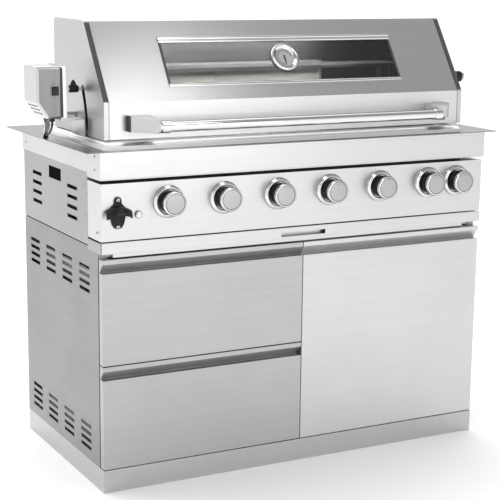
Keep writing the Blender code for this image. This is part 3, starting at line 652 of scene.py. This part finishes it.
for side, name in sides:
    near, far = sorted((side * 0.6006, side * 0.6022))
    plate("head_return_" + name, (near, -0.2985, 0.6492), (far, -0.2065, 0.6788), head_side_steel)
    plate("head_shoulder_" + name, (near, -0.2795, 0.8425), (far, -0.2065, 0.8570), panel_steel)
    near, far = sorted((side * 0.6015, side * 0.6030))
    plate("fascia_lip_" + name, (near, -0.3014, 0.8432), (far, -0.2796, 0.8460), panel_steel)
plate("fascia_lip_front", (-0.6030, -0.3030, 0.8432), (0.6030, -0.3015, 0.8460), panel_steel)

# ---- Light switch. A small turned push button with a knurled edge, for the lamps inside the hood.
light_seat = (-0.497, panel_front, 0.750)
button_profile = [(0, -0.0040), (0.0080, -0.0040), (0.0080, 0.0033), (0.0090, 0.0034), (0.0090, 0.0060),
                  (0.0080, 0.0070), (0.0058, 0.0070), (0.0054, 0.0058), (0.0034, 0.0056), (0.0030, 0.0066),
                  (0, 0.0069)]
finish_mesh(turned(button_profile, light_seat, front, 48), "light_button_head", chrome,
            "button", ["light_button"], flat_below=40)
set_bars("light_button_knurl", 0.0091, 14, (0.0016, 0.0017, 0.0026), 0.0048, groove_grey, "button",
         along_axis(light_seat, front))

# ---- Bottle opener. One black enamelled casting: a back plate with a screw at each end, and a curved
# hood whose lower lip hooks under a bottle cap.
opener_x = -0.555
enamel = moulded("black_enamel", (0.012, 0.012, 0.013), 0.28, 220, 0.25, 0.02)


def prism(outline, frame_of, near, far):
    """A closed solid: an outline of (a, b) points swept from c = near to c = far. frame_of turns (a, b, c)
    into a place."""
    bm = bmesh.new()
    ends = [[bm.verts.new(frame_of(a, b, c)) for a, b in outline] for c in (near, far)]
    bm.faces.new(ends[0])
    bm.faces.new(ends[1])
    for k in range(len(outline)):
        after = (k + 1) % len(outline)
        bm.faces.new((ends[0][k], ends[0][after], ends[1][after], ends[1][k]))
    bmesh.ops.recalc_face_normals(bm, faces=bm.faces)
    return bm


def opener_plate():
    half = [(0, 0.8000), (0.0060, 0.7985), (0.0100, 0.7925), (0.0100, 0.7850), (0.0120, 0.7800),
            (0.0200, 0.7730), (0.0215, 0.7560), (0.0200, 0.7420), (0.0165, 0.7280), (0.0100, 0.7180),
            (0, 0.7150)]
    outline = [(opener_x + x, z) for x, z in half] + [(opener_x - x, z) for x, z in half[-2:0:-1]]
    bm = prism(outline, lambda x, z, depth: (x, panel_front - depth, z), 0.0003, 0.0052)
    finish_mesh(bm, "opener_plate", enamel, "root", ["bottle_opener"], 0.0014)


def opener_hood():
    """The hood is a thick curved sheet. Each row runs from its top out over an arch to its lip, and the rows
    fall back and down towards both ends, where u is -1 and 1."""
    half_width, half_count, arch_steps = 0.0368, 12, 10
    bm = bmesh.new()
    rows = []
    for i in range(2 * half_count + 1):
        u = i / half_count - 1
        reach = 0.0275 * (1 - 0.62 * abs(u) ** 3)
        top = 0.7775 - 0.0140 * abs(u) ** 1.6
        lip = 0.7545 - 0.0120 * abs(u) ** 2.2
        row = []
        for k in range(arch_steps + 1):
            turn = k / arch_steps * math.pi / 2
            row.append(bm.verts.new((opener_x + half_width * u,
                                     panel_front - 0.004 - reach * math.sin(turn) ** 0.8,
                                     lip + (top - lip) * math.cos(turn) ** 0.9)))
        rows.append(row)
    for low, high in zip(rows, rows[1:]):
        for k in range(arch_steps):
            bm.faces.new((low[k], low[k + 1], high[k + 1], high[k]))
    bmesh.ops.recalc_face_normals(bm, faces=bm.faces)
    bmesh.ops.solidify(bm, geom=bm.faces[:], thickness=0.0032)
    finish_mesh(bm, "opener_hood", enamel, "root", edge=0.0008)


opener_plate()
opener_hood()
drive_screws("opener_screws", 0.0058, 0.0030, [((opener_x, panel_front - 0.0052, z), front)
                                               for z in (0.7915, 0.7220)])

# ---- Hood. One folded sheet with a sloping front, closed by pressed end caps. A dark seal strip shows
# along each cap's slope. The window is framed by a double polished bead above and a plain bead below.
slope_along, slope_out = Vector((0, 0.560, 0.828)), Vector((0, -0.828, 0.560))
slope_foot = Vector((0, -0.236, 1.033))
hood_steel = brushed("hood_steel", 0.66, 0.36, along_x)
dark_trim_and_shade = moulded("dark_trim_and_shade", (0.075, 0.075, 0.075), 0.55, 500, 0.1, 0.02)
inner_shade_steel = brushed("inner_shade_steel", 0.10, 0.50, along_x, 0.05)
folded_sheets(["lid_shell"], hood_steel, 0.0012)
# Painted shade: the end caps are a slightly darker copy of the hood's steel.
folded_sheets(["lid_end_left", "lid_end_right"], brushed("lid_end_steel", 0.58, 0.38, along_y), 0.0009)
window_half = 0.3674
hood_middle = Vector((0, -0.040, 1.060))
# Painted shade: the sheets' inner faces, which face the hood's middle, take a much darker copy of the hood
# steel.
for name in ("lid_shell_sheet", "lid_end_left_sheet", "lid_end_right_sheet"):
    sheet = bpy.data.objects[name].data
    sheet.materials.append(inner_shade_steel)
    for panel in sheet.polygons:
        panel.material_index = int(panel.normal.dot(panel.center - hood_middle) < 0)


def on_slope(along, out, x):
    return slope_foot + slope_along * along + slope_out * out + Vector((x, 0, 0))


for side, name in sides:
    strip = [(0.004, -0.001), (0.004, 0.0006), (0.242, 0.0006), (0.242, -0.001)]
    finish_mesh(prism(strip, on_slope, side * 0.5512, side * 0.5646), "hood_seal_" + name, dark_trim_and_shade,
                "lid", edge=0.0003)
top_bead = [(0.1765, -0.003), (0.1765, 0.0004), (0.1785, 0.0026), (0.1815, 0.0034), (0.1843, 0.0024),
            (0.1856, 0.0008), (0.1872, 0.0030), (0.1902, 0.0042), (0.1932, 0.0032), (0.1949, 0.0006),
            (0.1949, -0.003)]
low_bead = [(0.0421, -0.003), (0.0421, 0.0006), (0.0440, 0.0022), (0.0470, 0.0026), (0.0500, 0.0018),
            (0.0520, 0.0002), (0.0520, -0.003)]
for name, bead in (("window_top_bead", top_bead), ("window_low_bead", low_bead)):
    finish_mesh(prism(bead, on_slope, -window_half, window_half), name, chrome, "lid",
                flat_below=60)
# Painted shade: a dark strip inside each side of the window stands for the shade on the sheet's inner edges.
for side, name in sides:
    jamb = [(0.0521, -0.0034), (0.0521, 0.0008), (0.1764, 0.0008), (0.1764, -0.0034)]
    finish_mesh(prism(jamb, on_slope, side * 0.3610, side * window_half), "window_jamb_" + name, dark_trim_and_shade,
                "lid", edge=0.0006)


def clear_glass():
    """Toughened window glass: clear, a little grey, with faint smoke marks in its gloss."""
    finish = metal_finish("window_glass", (0.62, 0.62, 0.62), 0.03, 0.0)
    tree = finish.node_tree
    shader = tree.nodes["Principled BSDF"]
    shader.inputs["Transmission Weight"].default_value = 1.0
    shader.inputs["IOR"].default_value = 1.5
    marks = marks_of(tree, node(tree, "ShaderNodeTexCoord").outputs["Object"], 5.0, 1.0)
    drive(tree, {"Roughness": scaled_sum(tree, 0.02, [(marks, 0.05)])})
    return finish


folded_sheets(["window_glass"], clear_glass(), 0.0004)

# ---- Thermometer. A deep spun chrome ring with a conical inner wall, a pale dial with fine and bold
# printed ticks over three quarters of its edge, and a thin black needle on a small chromed hub.
gauge_centre = on_slope(0.1197, 0, 0)
dial_pale = moulded("dial_pale", (0.42, 0.42, 0.41), 0.4, 300, 0.05, 0.03)
case = [(0, -0.020), (0.0060, -0.020), (0.0060, 0.0006), (0.0405, 0.0006), (0.0424, 0.0018), (0.0432, 0.0045),
        (0.0432, 0.0085), (0.0424, 0.0115), (0.0408, 0.0136), (0.0386, 0.0147), (0.0362, 0.0146),
        (0.0343, 0.0134), (0.0290, 0.0084), (0.0280, 0.0075), (0, 0.0075)]
finish_mesh(turned(case, gauge_centre, slope_out, 96), "thermometer_ring", chrome, "lid",
            ["thermometer_case"], flat_below=55)
finish_mesh(turned([(0, 0.0074), (0.0277, 0.0074), (0.0277, 0.0077), (0, 0.0077)], gauge_centre, slope_out),
            "thermometer_dial", dial_pale, "lid")
dial_frame = along_axis(gauge_centre, slope_out, slope_along)
for name, radius, count, bar in (("fine_ticks", 0.0252, 45, (0.0026, 0.0007, 0.0002)),
                                 ("bold_ticks", 0.0208, 18, (0.0040, 0.0020, 0.0002))):
    set_bars("thermometer_" + name, radius, count, bar, 0.0078, knob_black, "lid", dial_frame,
             sweep=-1.5 * math.pi, start=-0.5 * math.pi)
folded_sheets(["thermometer_needle"], knob_black, 0.0)
finish_mesh(turned([(0, 0.0080), (0.0026, 0.0080), (0.0024, 0.0094), (0, 0.0098)], gauge_centre, slope_out,
                   24),
            "needle_hub", chrome, "needle")

# ---- Hood handle. A polished tube in two sockets, on folded arms that stand out from the hood. Each
# arm's outer end is closed by a black cap with a slot.
handle_place = Vector((0, -0.312, 0.9755))
arm_steel = brushed("arm_steel", 0.62, 0.33, along_y)
tube = [(0, -0.4340), (0.0140, -0.4340), (0.0140, 0.4340), (0, 0.4340)]
finish_mesh(turned(tube, handle_place, right, 64), "handle_tube", chrome, "lid",
            ["lid_handle"])
socket = [(0, 0.4130), (0.0150, 0.4130), (0.0164, 0.4140), (0.0164, 0.4365), (0.0154, 0.4380), (0, 0.4380)]
arm_nose = (0.4440, -0.3270)
arm = [(0.5000, -0.2366), (0.5000, -0.2620), arm_nose, (0.4345, -0.3285), (0.4345, -0.2366)]
arm_low, arm_high, nose_high, arm_chamfer = -0.0165, 0.0245, 0.0175, 0.0095
arm_cap = [(0.4985, -0.2375), (0.5022, -0.2375), (0.5022, -0.2618), (0.4985, -0.2618)]
cap_slot = [(0.5010, -0.2460), (0.5026, -0.2460), (0.5026, -0.2540), (0.5010, -0.2540)]


def beside_handle(outline, side, low, high):
    """A prism from (x, y) points on one side of the hood, between two heights from the tube's middle."""
    return prism(outline, lambda x, y, z: (side * x, y, z), handle_place.z + low, handle_place.z + high)


for side, name in sides:
    finish_mesh(turned(socket, handle_place, (side, 0, 0), 64), "handle_socket_" + name, chrome,
                "lid")
    bm = beside_handle(arm, side, arm_low, arm_high)
    for corner in bm.verts:
        if corner.co.y < -0.320 and corner.co.z > handle_place.z:
            corner.co.z = handle_place.z + nose_high
    along_arm = Vector((-side * 0.6527, -0.7576, 0))
    for rise, up in ((nose_high, 1), (arm_low, -1)):
        cut_place = Vector((side * arm_nose[0], arm_nose[1], handle_place.z + rise)) - along_arm * arm_chamfer
        cut = bmesh.ops.bisect_plane(bm, geom=bm.verts[:] + bm.edges[:] + bm.faces[:], plane_co=cut_place,
                                     plane_no=(along_arm + Vector((0, 0, up))).normalized(), clear_outer=True)
        bmesh.ops.edgenet_fill(bm, edges=[e for e in cut["geom_cut"] if isinstance(e, bmesh.types.BMEdge)])
    finish_mesh(bm, "handle_arm_%s_shell" % name, arm_steel, "lid", ["handle_arm_" + name],
                0.0016, rounds=3)
    finish_mesh(beside_handle(arm_cap, side, -0.0170, 0.0250), "handle_cap_" + name, dark_trim_and_shade,
                "lid", edge=0.0012)
    # Painted shade: the slot is a near-black strip standing for the shade in it.
    finish_mesh(beside_handle(cap_slot, side, -0.0090, 0.0170), "handle_slot_" + name, knob_black,
                "lid", edge=0.0004)

# ---- Rotisserie motor. A bevelled stainless box hung on a folded bracket, with a rocker switch in a
# lugged frame, vent holes in its lower corner, a steel stay to the flange and a black gland for its lead.
# A folded flange stands along its right edge with a dark strip in the gap as painted shade, and a ledge ties
# it to the hood rim.
motor_steel = brushed("motor_steel", 0.62, 0.24, (800.0, 800.0, 6.0))
motor_dark_reflection_steel = brushed("motor_dark_reflection_steel", 0.21, 0.36, (800.0, 800.0, 6.0))
motor_outline = [(-0.7105, 1.1235), (-0.6430, 1.1235), (-0.6430, 0.9880), (-0.6820, 0.9880),
                 (-0.7105, 1.0300)]


def inset(outline, amount):
    """The outline moved inwards by amount, corner by corner; it runs clockwise as seen from the front."""
    moved = []
    for k, corner in enumerate(outline):
        before, after = outline[k - 1], outline[(k + 1) % len(outline)]
        a = (Vector(corner) - Vector(before)).normalized()
        b = (Vector(after) - Vector(corner)).normalized()
        na, nb = Vector((a.y, -a.x)), Vector((b.y, -b.x))
        moved.append(tuple(Vector(corner) + (na + nb) * (amount / (1 + na.dot(nb)))))
    return moved


def bridge(bm, rings):
    """Joins each closed ring of corners to the next and closes both ends."""
    count = len(rings[0])
    for low, high in zip(rings, rings[1:]):
        for k in range(count):
            bm.faces.new((low[k], low[(k + 1) % count], high[(k + 1) % count], high[k]))
    bm.faces.new(rings[0])
    bm.faces.new(rings[-1])
    bmesh.ops.recalc_face_normals(bm, faces=bm.faces)


def motor_box():
    """The box from its back to its front, as (depth, how far the outline is drawn in there)."""
    bm = bmesh.new()
    stations = [(-0.0385, 0.0), (-0.1350, 0.0), (-0.1400, 0.0052)]
    bridge(bm, [[bm.verts.new((x, y, z)) for x, z in inset(motor_outline, amount)] for y, amount in stations])
    finish_mesh(bm, "motor_box", motor_steel, "root", ["motor_housing"], 0.0010, 20)


def front_sheet(name, outline, back_y, front_y, finish, edge=0.0):
    """A flat sheet that faces front, on the fixed body, from an outline of (x, z) points."""
    finish_mesh(prism(outline, lambda x, z, y: (x, y, z), back_y, front_y), name, finish,
                "root", edge=edge)


motor_box()
# Painted reflection: the box's front face takes a much darker copy of the motor steel for the dark reflection
# it shows.
front_sheet("motor_face", inset(motor_outline, 0.0058), -0.1398, -0.1402, motor_dark_reflection_steel)
gland = [(0, -0.0005), (0.0058, -0.0005), (0.0058, 0.0030), (0.0072, 0.0034), (0.0072, 0.0080),
         (0.0050, 0.0118), (0.0034, 0.0122), (0.0034, 0.0060), (0, 0.0060)]
finish_mesh(turned(gland, (lead_start.x, lead_start.y, 0.9885), (0, 0, -1), 32), "motor_gland", knob_black,
            "root")
grommet = [(0, -0.0040), (0.0064, -0.0040), (0.0072, -0.0030), (0.0072, 0.0010), (0.0056, 0.0040),
           (0, 0.0046)]
finish_mesh(turned(grommet, lead_end + Vector((0.001, 0.003, 0.0004)), (0, 0, 1), 32), "lead_grommet",
            knob_black, "root")
switch_x, switch_z = -0.6613, 1.0605
frame_half = [(0.0085, 0.0150), (0.0125, 0.0125), (0.0125, -0.0125), (0.0085, -0.0150), (0.0045, -0.0178),
              (0, -0.0190)]
frame_outline = [(0, 0.0190), (0.0045, 0.0178)] + frame_half
frame_outline += [(-x, z) for x, z in frame_outline[-2:0:-1]]
well_outline = [(-0.0094, 0.0114), (0.0094, 0.0114), (0.0094, -0.0114), (-0.0094, -0.0114)]


def ring_plate(outer, inner, frame_of, near, far):
    """A flat plate between two outlines, one inside the other; frame_of turns (a, b, depth) into a place."""
    bm = bmesh.new()
    edges = []
    for outline in (outer, inner):
        loop = [bm.verts.new(frame_of(*corner, near)) for corner in outline]
        edges += [bm.edges.new((loop[k - 1], loop[k])) for k in range(len(loop))]
    bmesh.ops.triangle_fill(bm, use_beauty=True, edges=edges)
    pulled = bmesh.ops.extrude_face_region(bm, geom=bm.faces[:])
    shift = Vector(frame_of(0, 0, far)) - Vector(frame_of(0, 0, near))
    bmesh.ops.translate(bm, vec=shift, verts=[v for v in pulled["geom"] if isinstance(v, bmesh.types.BMVert)])
    bmesh.ops.recalc_face_normals(bm, faces=bm.faces)
    return bm


def on_switch(x, z, y):
    return switch_x + x, y, switch_z + z


# Painted reflection: the switch frame uses the face's darkened steel.
finish_mesh(ring_plate(frame_outline, well_outline, on_switch, -0.1401, -0.1417), "switch_frame",
            motor_dark_reflection_steel, "root", edge=0.0005)
finish_mesh(prism(well_outline, on_switch, -0.1401, -0.1405), "switch_well", knob_black,
            "root")
rocker_side = [(-0.1424, -0.0096), (-0.1452, -0.0096), (-0.1434, 0.0000), (-0.1442, 0.0096),
               (-0.1424, 0.0096)]
rocker = prism([(y, switch_z + z) for y, z in rocker_side], lambda y, z, x: (x, y, z),
               switch_x - 0.0078, switch_x + 0.0078)
finish_mesh(rocker, "switch_rocker", enamel, "rocker", ["motor_switch"], 0.0005)
drive_screws("switch_screws", 0.0017, 0.0008, [((switch_x, -0.1417, switch_z + z), front)
                                               for z in (0.0158, -0.0158)])


def rows_tree():
    """Short rods in rows and columns, each turned the same way: holes, ports and bars."""
    tree, given, made = geometry_tree("rows_of_rods", [
        ("Columns", "Int"), ("Rows", "Int"), ("Column Step", "Vector"), ("Row Step", "Vector"),
        ("First", "Vector"), ("Turn", "Vector"), ("Radius", "Float"), ("Length", "Float"), ("Sides", "Int"),
        ("Finish", "Material")])
    ask = given.outputs
    points = node(tree, "GeometryNodePoints", {}, {"Count": calc(tree, "MULTIPLY", ask["Columns"],
                                                                 ask["Rows"])})
    index = node(tree, "GeometryNodeInputIndex").outputs[0]
    column = calc(tree, "FLOORED_MODULO", index, ask["Columns"])
    row = calc(tree, "FLOOR", calc(tree, "DIVIDE", index, ask["Columns"]))
    place = ask["First"]
    for step, count in (("Column Step", column), ("Row Step", row)):
        run = node(tree, "ShaderNodeVectorMath", {}, {0: ask[step], "Scale": count}, operation="SCALE")
        place = calc(tree, "ADD", place, run.outputs[0], kind="VectorMath")
    moved = node(tree, "GeometryNodeSetPosition", {}, {"Geometry": points.outputs[0], "Position": place})
    rod = node(tree, "GeometryNodeMeshCylinder", {}, {
        "Vertices": ask["Sides"], "Radius": ask["Radius"], "Depth": ask["Length"]})
    rods = painted_copies(tree, moved.outputs[0], rod.outputs["Mesh"], ask["Finish"], Rotation=ask["Turn"])
    tree.links.new(rods, made.inputs[0])
    return tree


chamfer_run, chamfer_drop = 0.0285, 0.0420
chamfer = Vector((chamfer_run, 0, -chamfer_drop)).normalized()
vent_turn = (0.0, math.atan2(-chamfer_drop, -chamfer_run), 0.0)
# The vent holes are thin near-black discs: painted shade standing for the holes.
grow(rows_tree(), "motor_vents", {
    "Columns": 5, "Rows": 3, "Column Step": (0, 0.0150, 0), "Row Step": tuple(chamfer * 0.0125),
    "First": (-0.7040, -0.1180, 1.0205), "Turn": vent_turn, "Radius": 0.0030, "Length": 0.0012, "Sides": 16,
    "Finish": recess_shade}, "root")


def bent_strip(name, route, half_width, thickness, finish):
    """A strip of sheet on the fixed body that follows route, its width in the XZ plane."""
    bm = bmesh.new()
    rings = []
    for k, place in enumerate(route):
        ahead = (route[min(k + 1, len(route) - 1)] - route[max(k - 1, 0)]).normalized()
        side = ahead.cross(Vector((0, 1, 0))).normalized()
        thick = side.cross(ahead).normalized()
        rings.append([bm.verts.new(place + side * (a * half_width) + thick * (b * thickness / 2))
                      for a, b in ((-1, -1), (1, -1), (1, 1), (-1, 1))])
    bridge(bm, rings)
    finish_mesh(bm, name, finish, "root", edge=0.0004)


stay_route = smooth_route([Vector(p) for p in ((-0.6640, -0.0780, 0.9890), (-0.6625, -0.0740, 0.9800),
                                               (-0.6515, -0.0500, 0.9650), (-0.6405, -0.0150, 0.9450),
                                               (-0.6295, 0.0300, 0.9285), (-0.6170, 0.0700, 0.9195))], 6)
bent_strip("motor_stay", stay_route, 0.0085, 0.0022, arm_steel)
drive_screws("stay_screw", 0.0042, 0.0020, [((-0.6330, 0.0125, 0.9345), front)])
folded_sheets(["motor_bracket"], arm_steel, 0.0006)
motor_flange = [(-0.6425, 1.1235), (-0.6305, 1.1235), (-0.6268, 0.9880), (-0.6425, 0.9880)]
front_sheet("motor_flange", motor_flange, -0.1335, -0.1350, arm_steel, 0.0003)
# Painted shade: a dark strip in the gap between the box's right edge and the flange.
flange_gap = [(-0.6428, 1.1200), (-0.6385, 1.1200), (-0.6372, 0.9900), (-0.6428, 0.9900)]
finish_mesh(prism(flange_gap, lambda x, z, y: (x, y, z), -0.1349, -0.1356), "motor_flange_seal", dark_trim_and_shade,
            "root", edge=0.0002)
ledge = [(-0.6428, 0.9945), (-0.5590, 0.9945), (-0.5570, 0.9925), (-0.5570, 0.9740), (-0.5710, 0.9740),
         (-0.5710, 0.9850), (-0.6428, 0.9850)]
front_sheet("motor_ledge", ledge, -0.0400, -0.0380, arm_steel, 0.0003)
drive_screws("ledge_screw", 0.0046, 0.0036, [((-0.5640, -0.0400, 0.9797), front)], knob_black)

# ---- Spit support. A fixed plate stands on the rim just inside the hood's left end. It carries the rod and
# closes the slot that lets the hood open past it.
shield = [(-0.105, 0.9370), (-0.105, 1.0640), (-0.100, 1.0700), (-0.076, 1.0700), (-0.056, 1.0640),
          (-0.020, 0.9370)]
finish_mesh(prism(shield, lambda y, z, x: (x, y, z), -0.5480, -0.5465), "spit_support", head_side_steel,
            "root", edge=0.0004)

# ---- Spit. A square steel rod through the hood, with a turned collar, a black wing screw that clamps it
# in the motor's drive, and a ribbed black grip on its far end.
spit_axis = Vector((0, -0.088, 1.060))
folded_sheets(["spit_rod"], brushed("rod_steel", 0.55, 0.32, (3.0, 600.0, 600.0)), 0.0006)
collar = [(0, -0.6035), (0.0088, -0.6035), (0.0098, -0.6025), (0.0098, -0.5795), (0.0088, -0.5785),
          (0, -0.5785)]
finish_mesh(turned(collar, spit_axis, right, 40), "spit_collar", knob_black, "spit")
wing = [(-0.6015, 1.0680), (-0.5960, 1.0800), (-0.5915, 1.0850), (-0.5870, 1.0800), (-0.5815, 1.0680)]
finish_mesh(prism(wing, lambda x, z, y: (x, y, z), -0.0905, -0.0855), "spit_wing", knob_black,
            "spit", edge=0.0012)
grip = [(0, 0.6385), (0.0105, 0.6385), (0.0148, 0.6410), (0.0156, 0.6450), (0.0156, 0.6640), (0.0140, 0.6690),
        (0, 0.6712)]
finish_mesh(turned(grip, spit_axis, right, 48), "spit_grip", knob_black, "spit")
set_bars("spit_grip_ribs", 0.0156, 24, (0.0016, 0.0018, 0.0180), 0.6545, knob_black, "spit",
         along_axis(spit_axis, right))
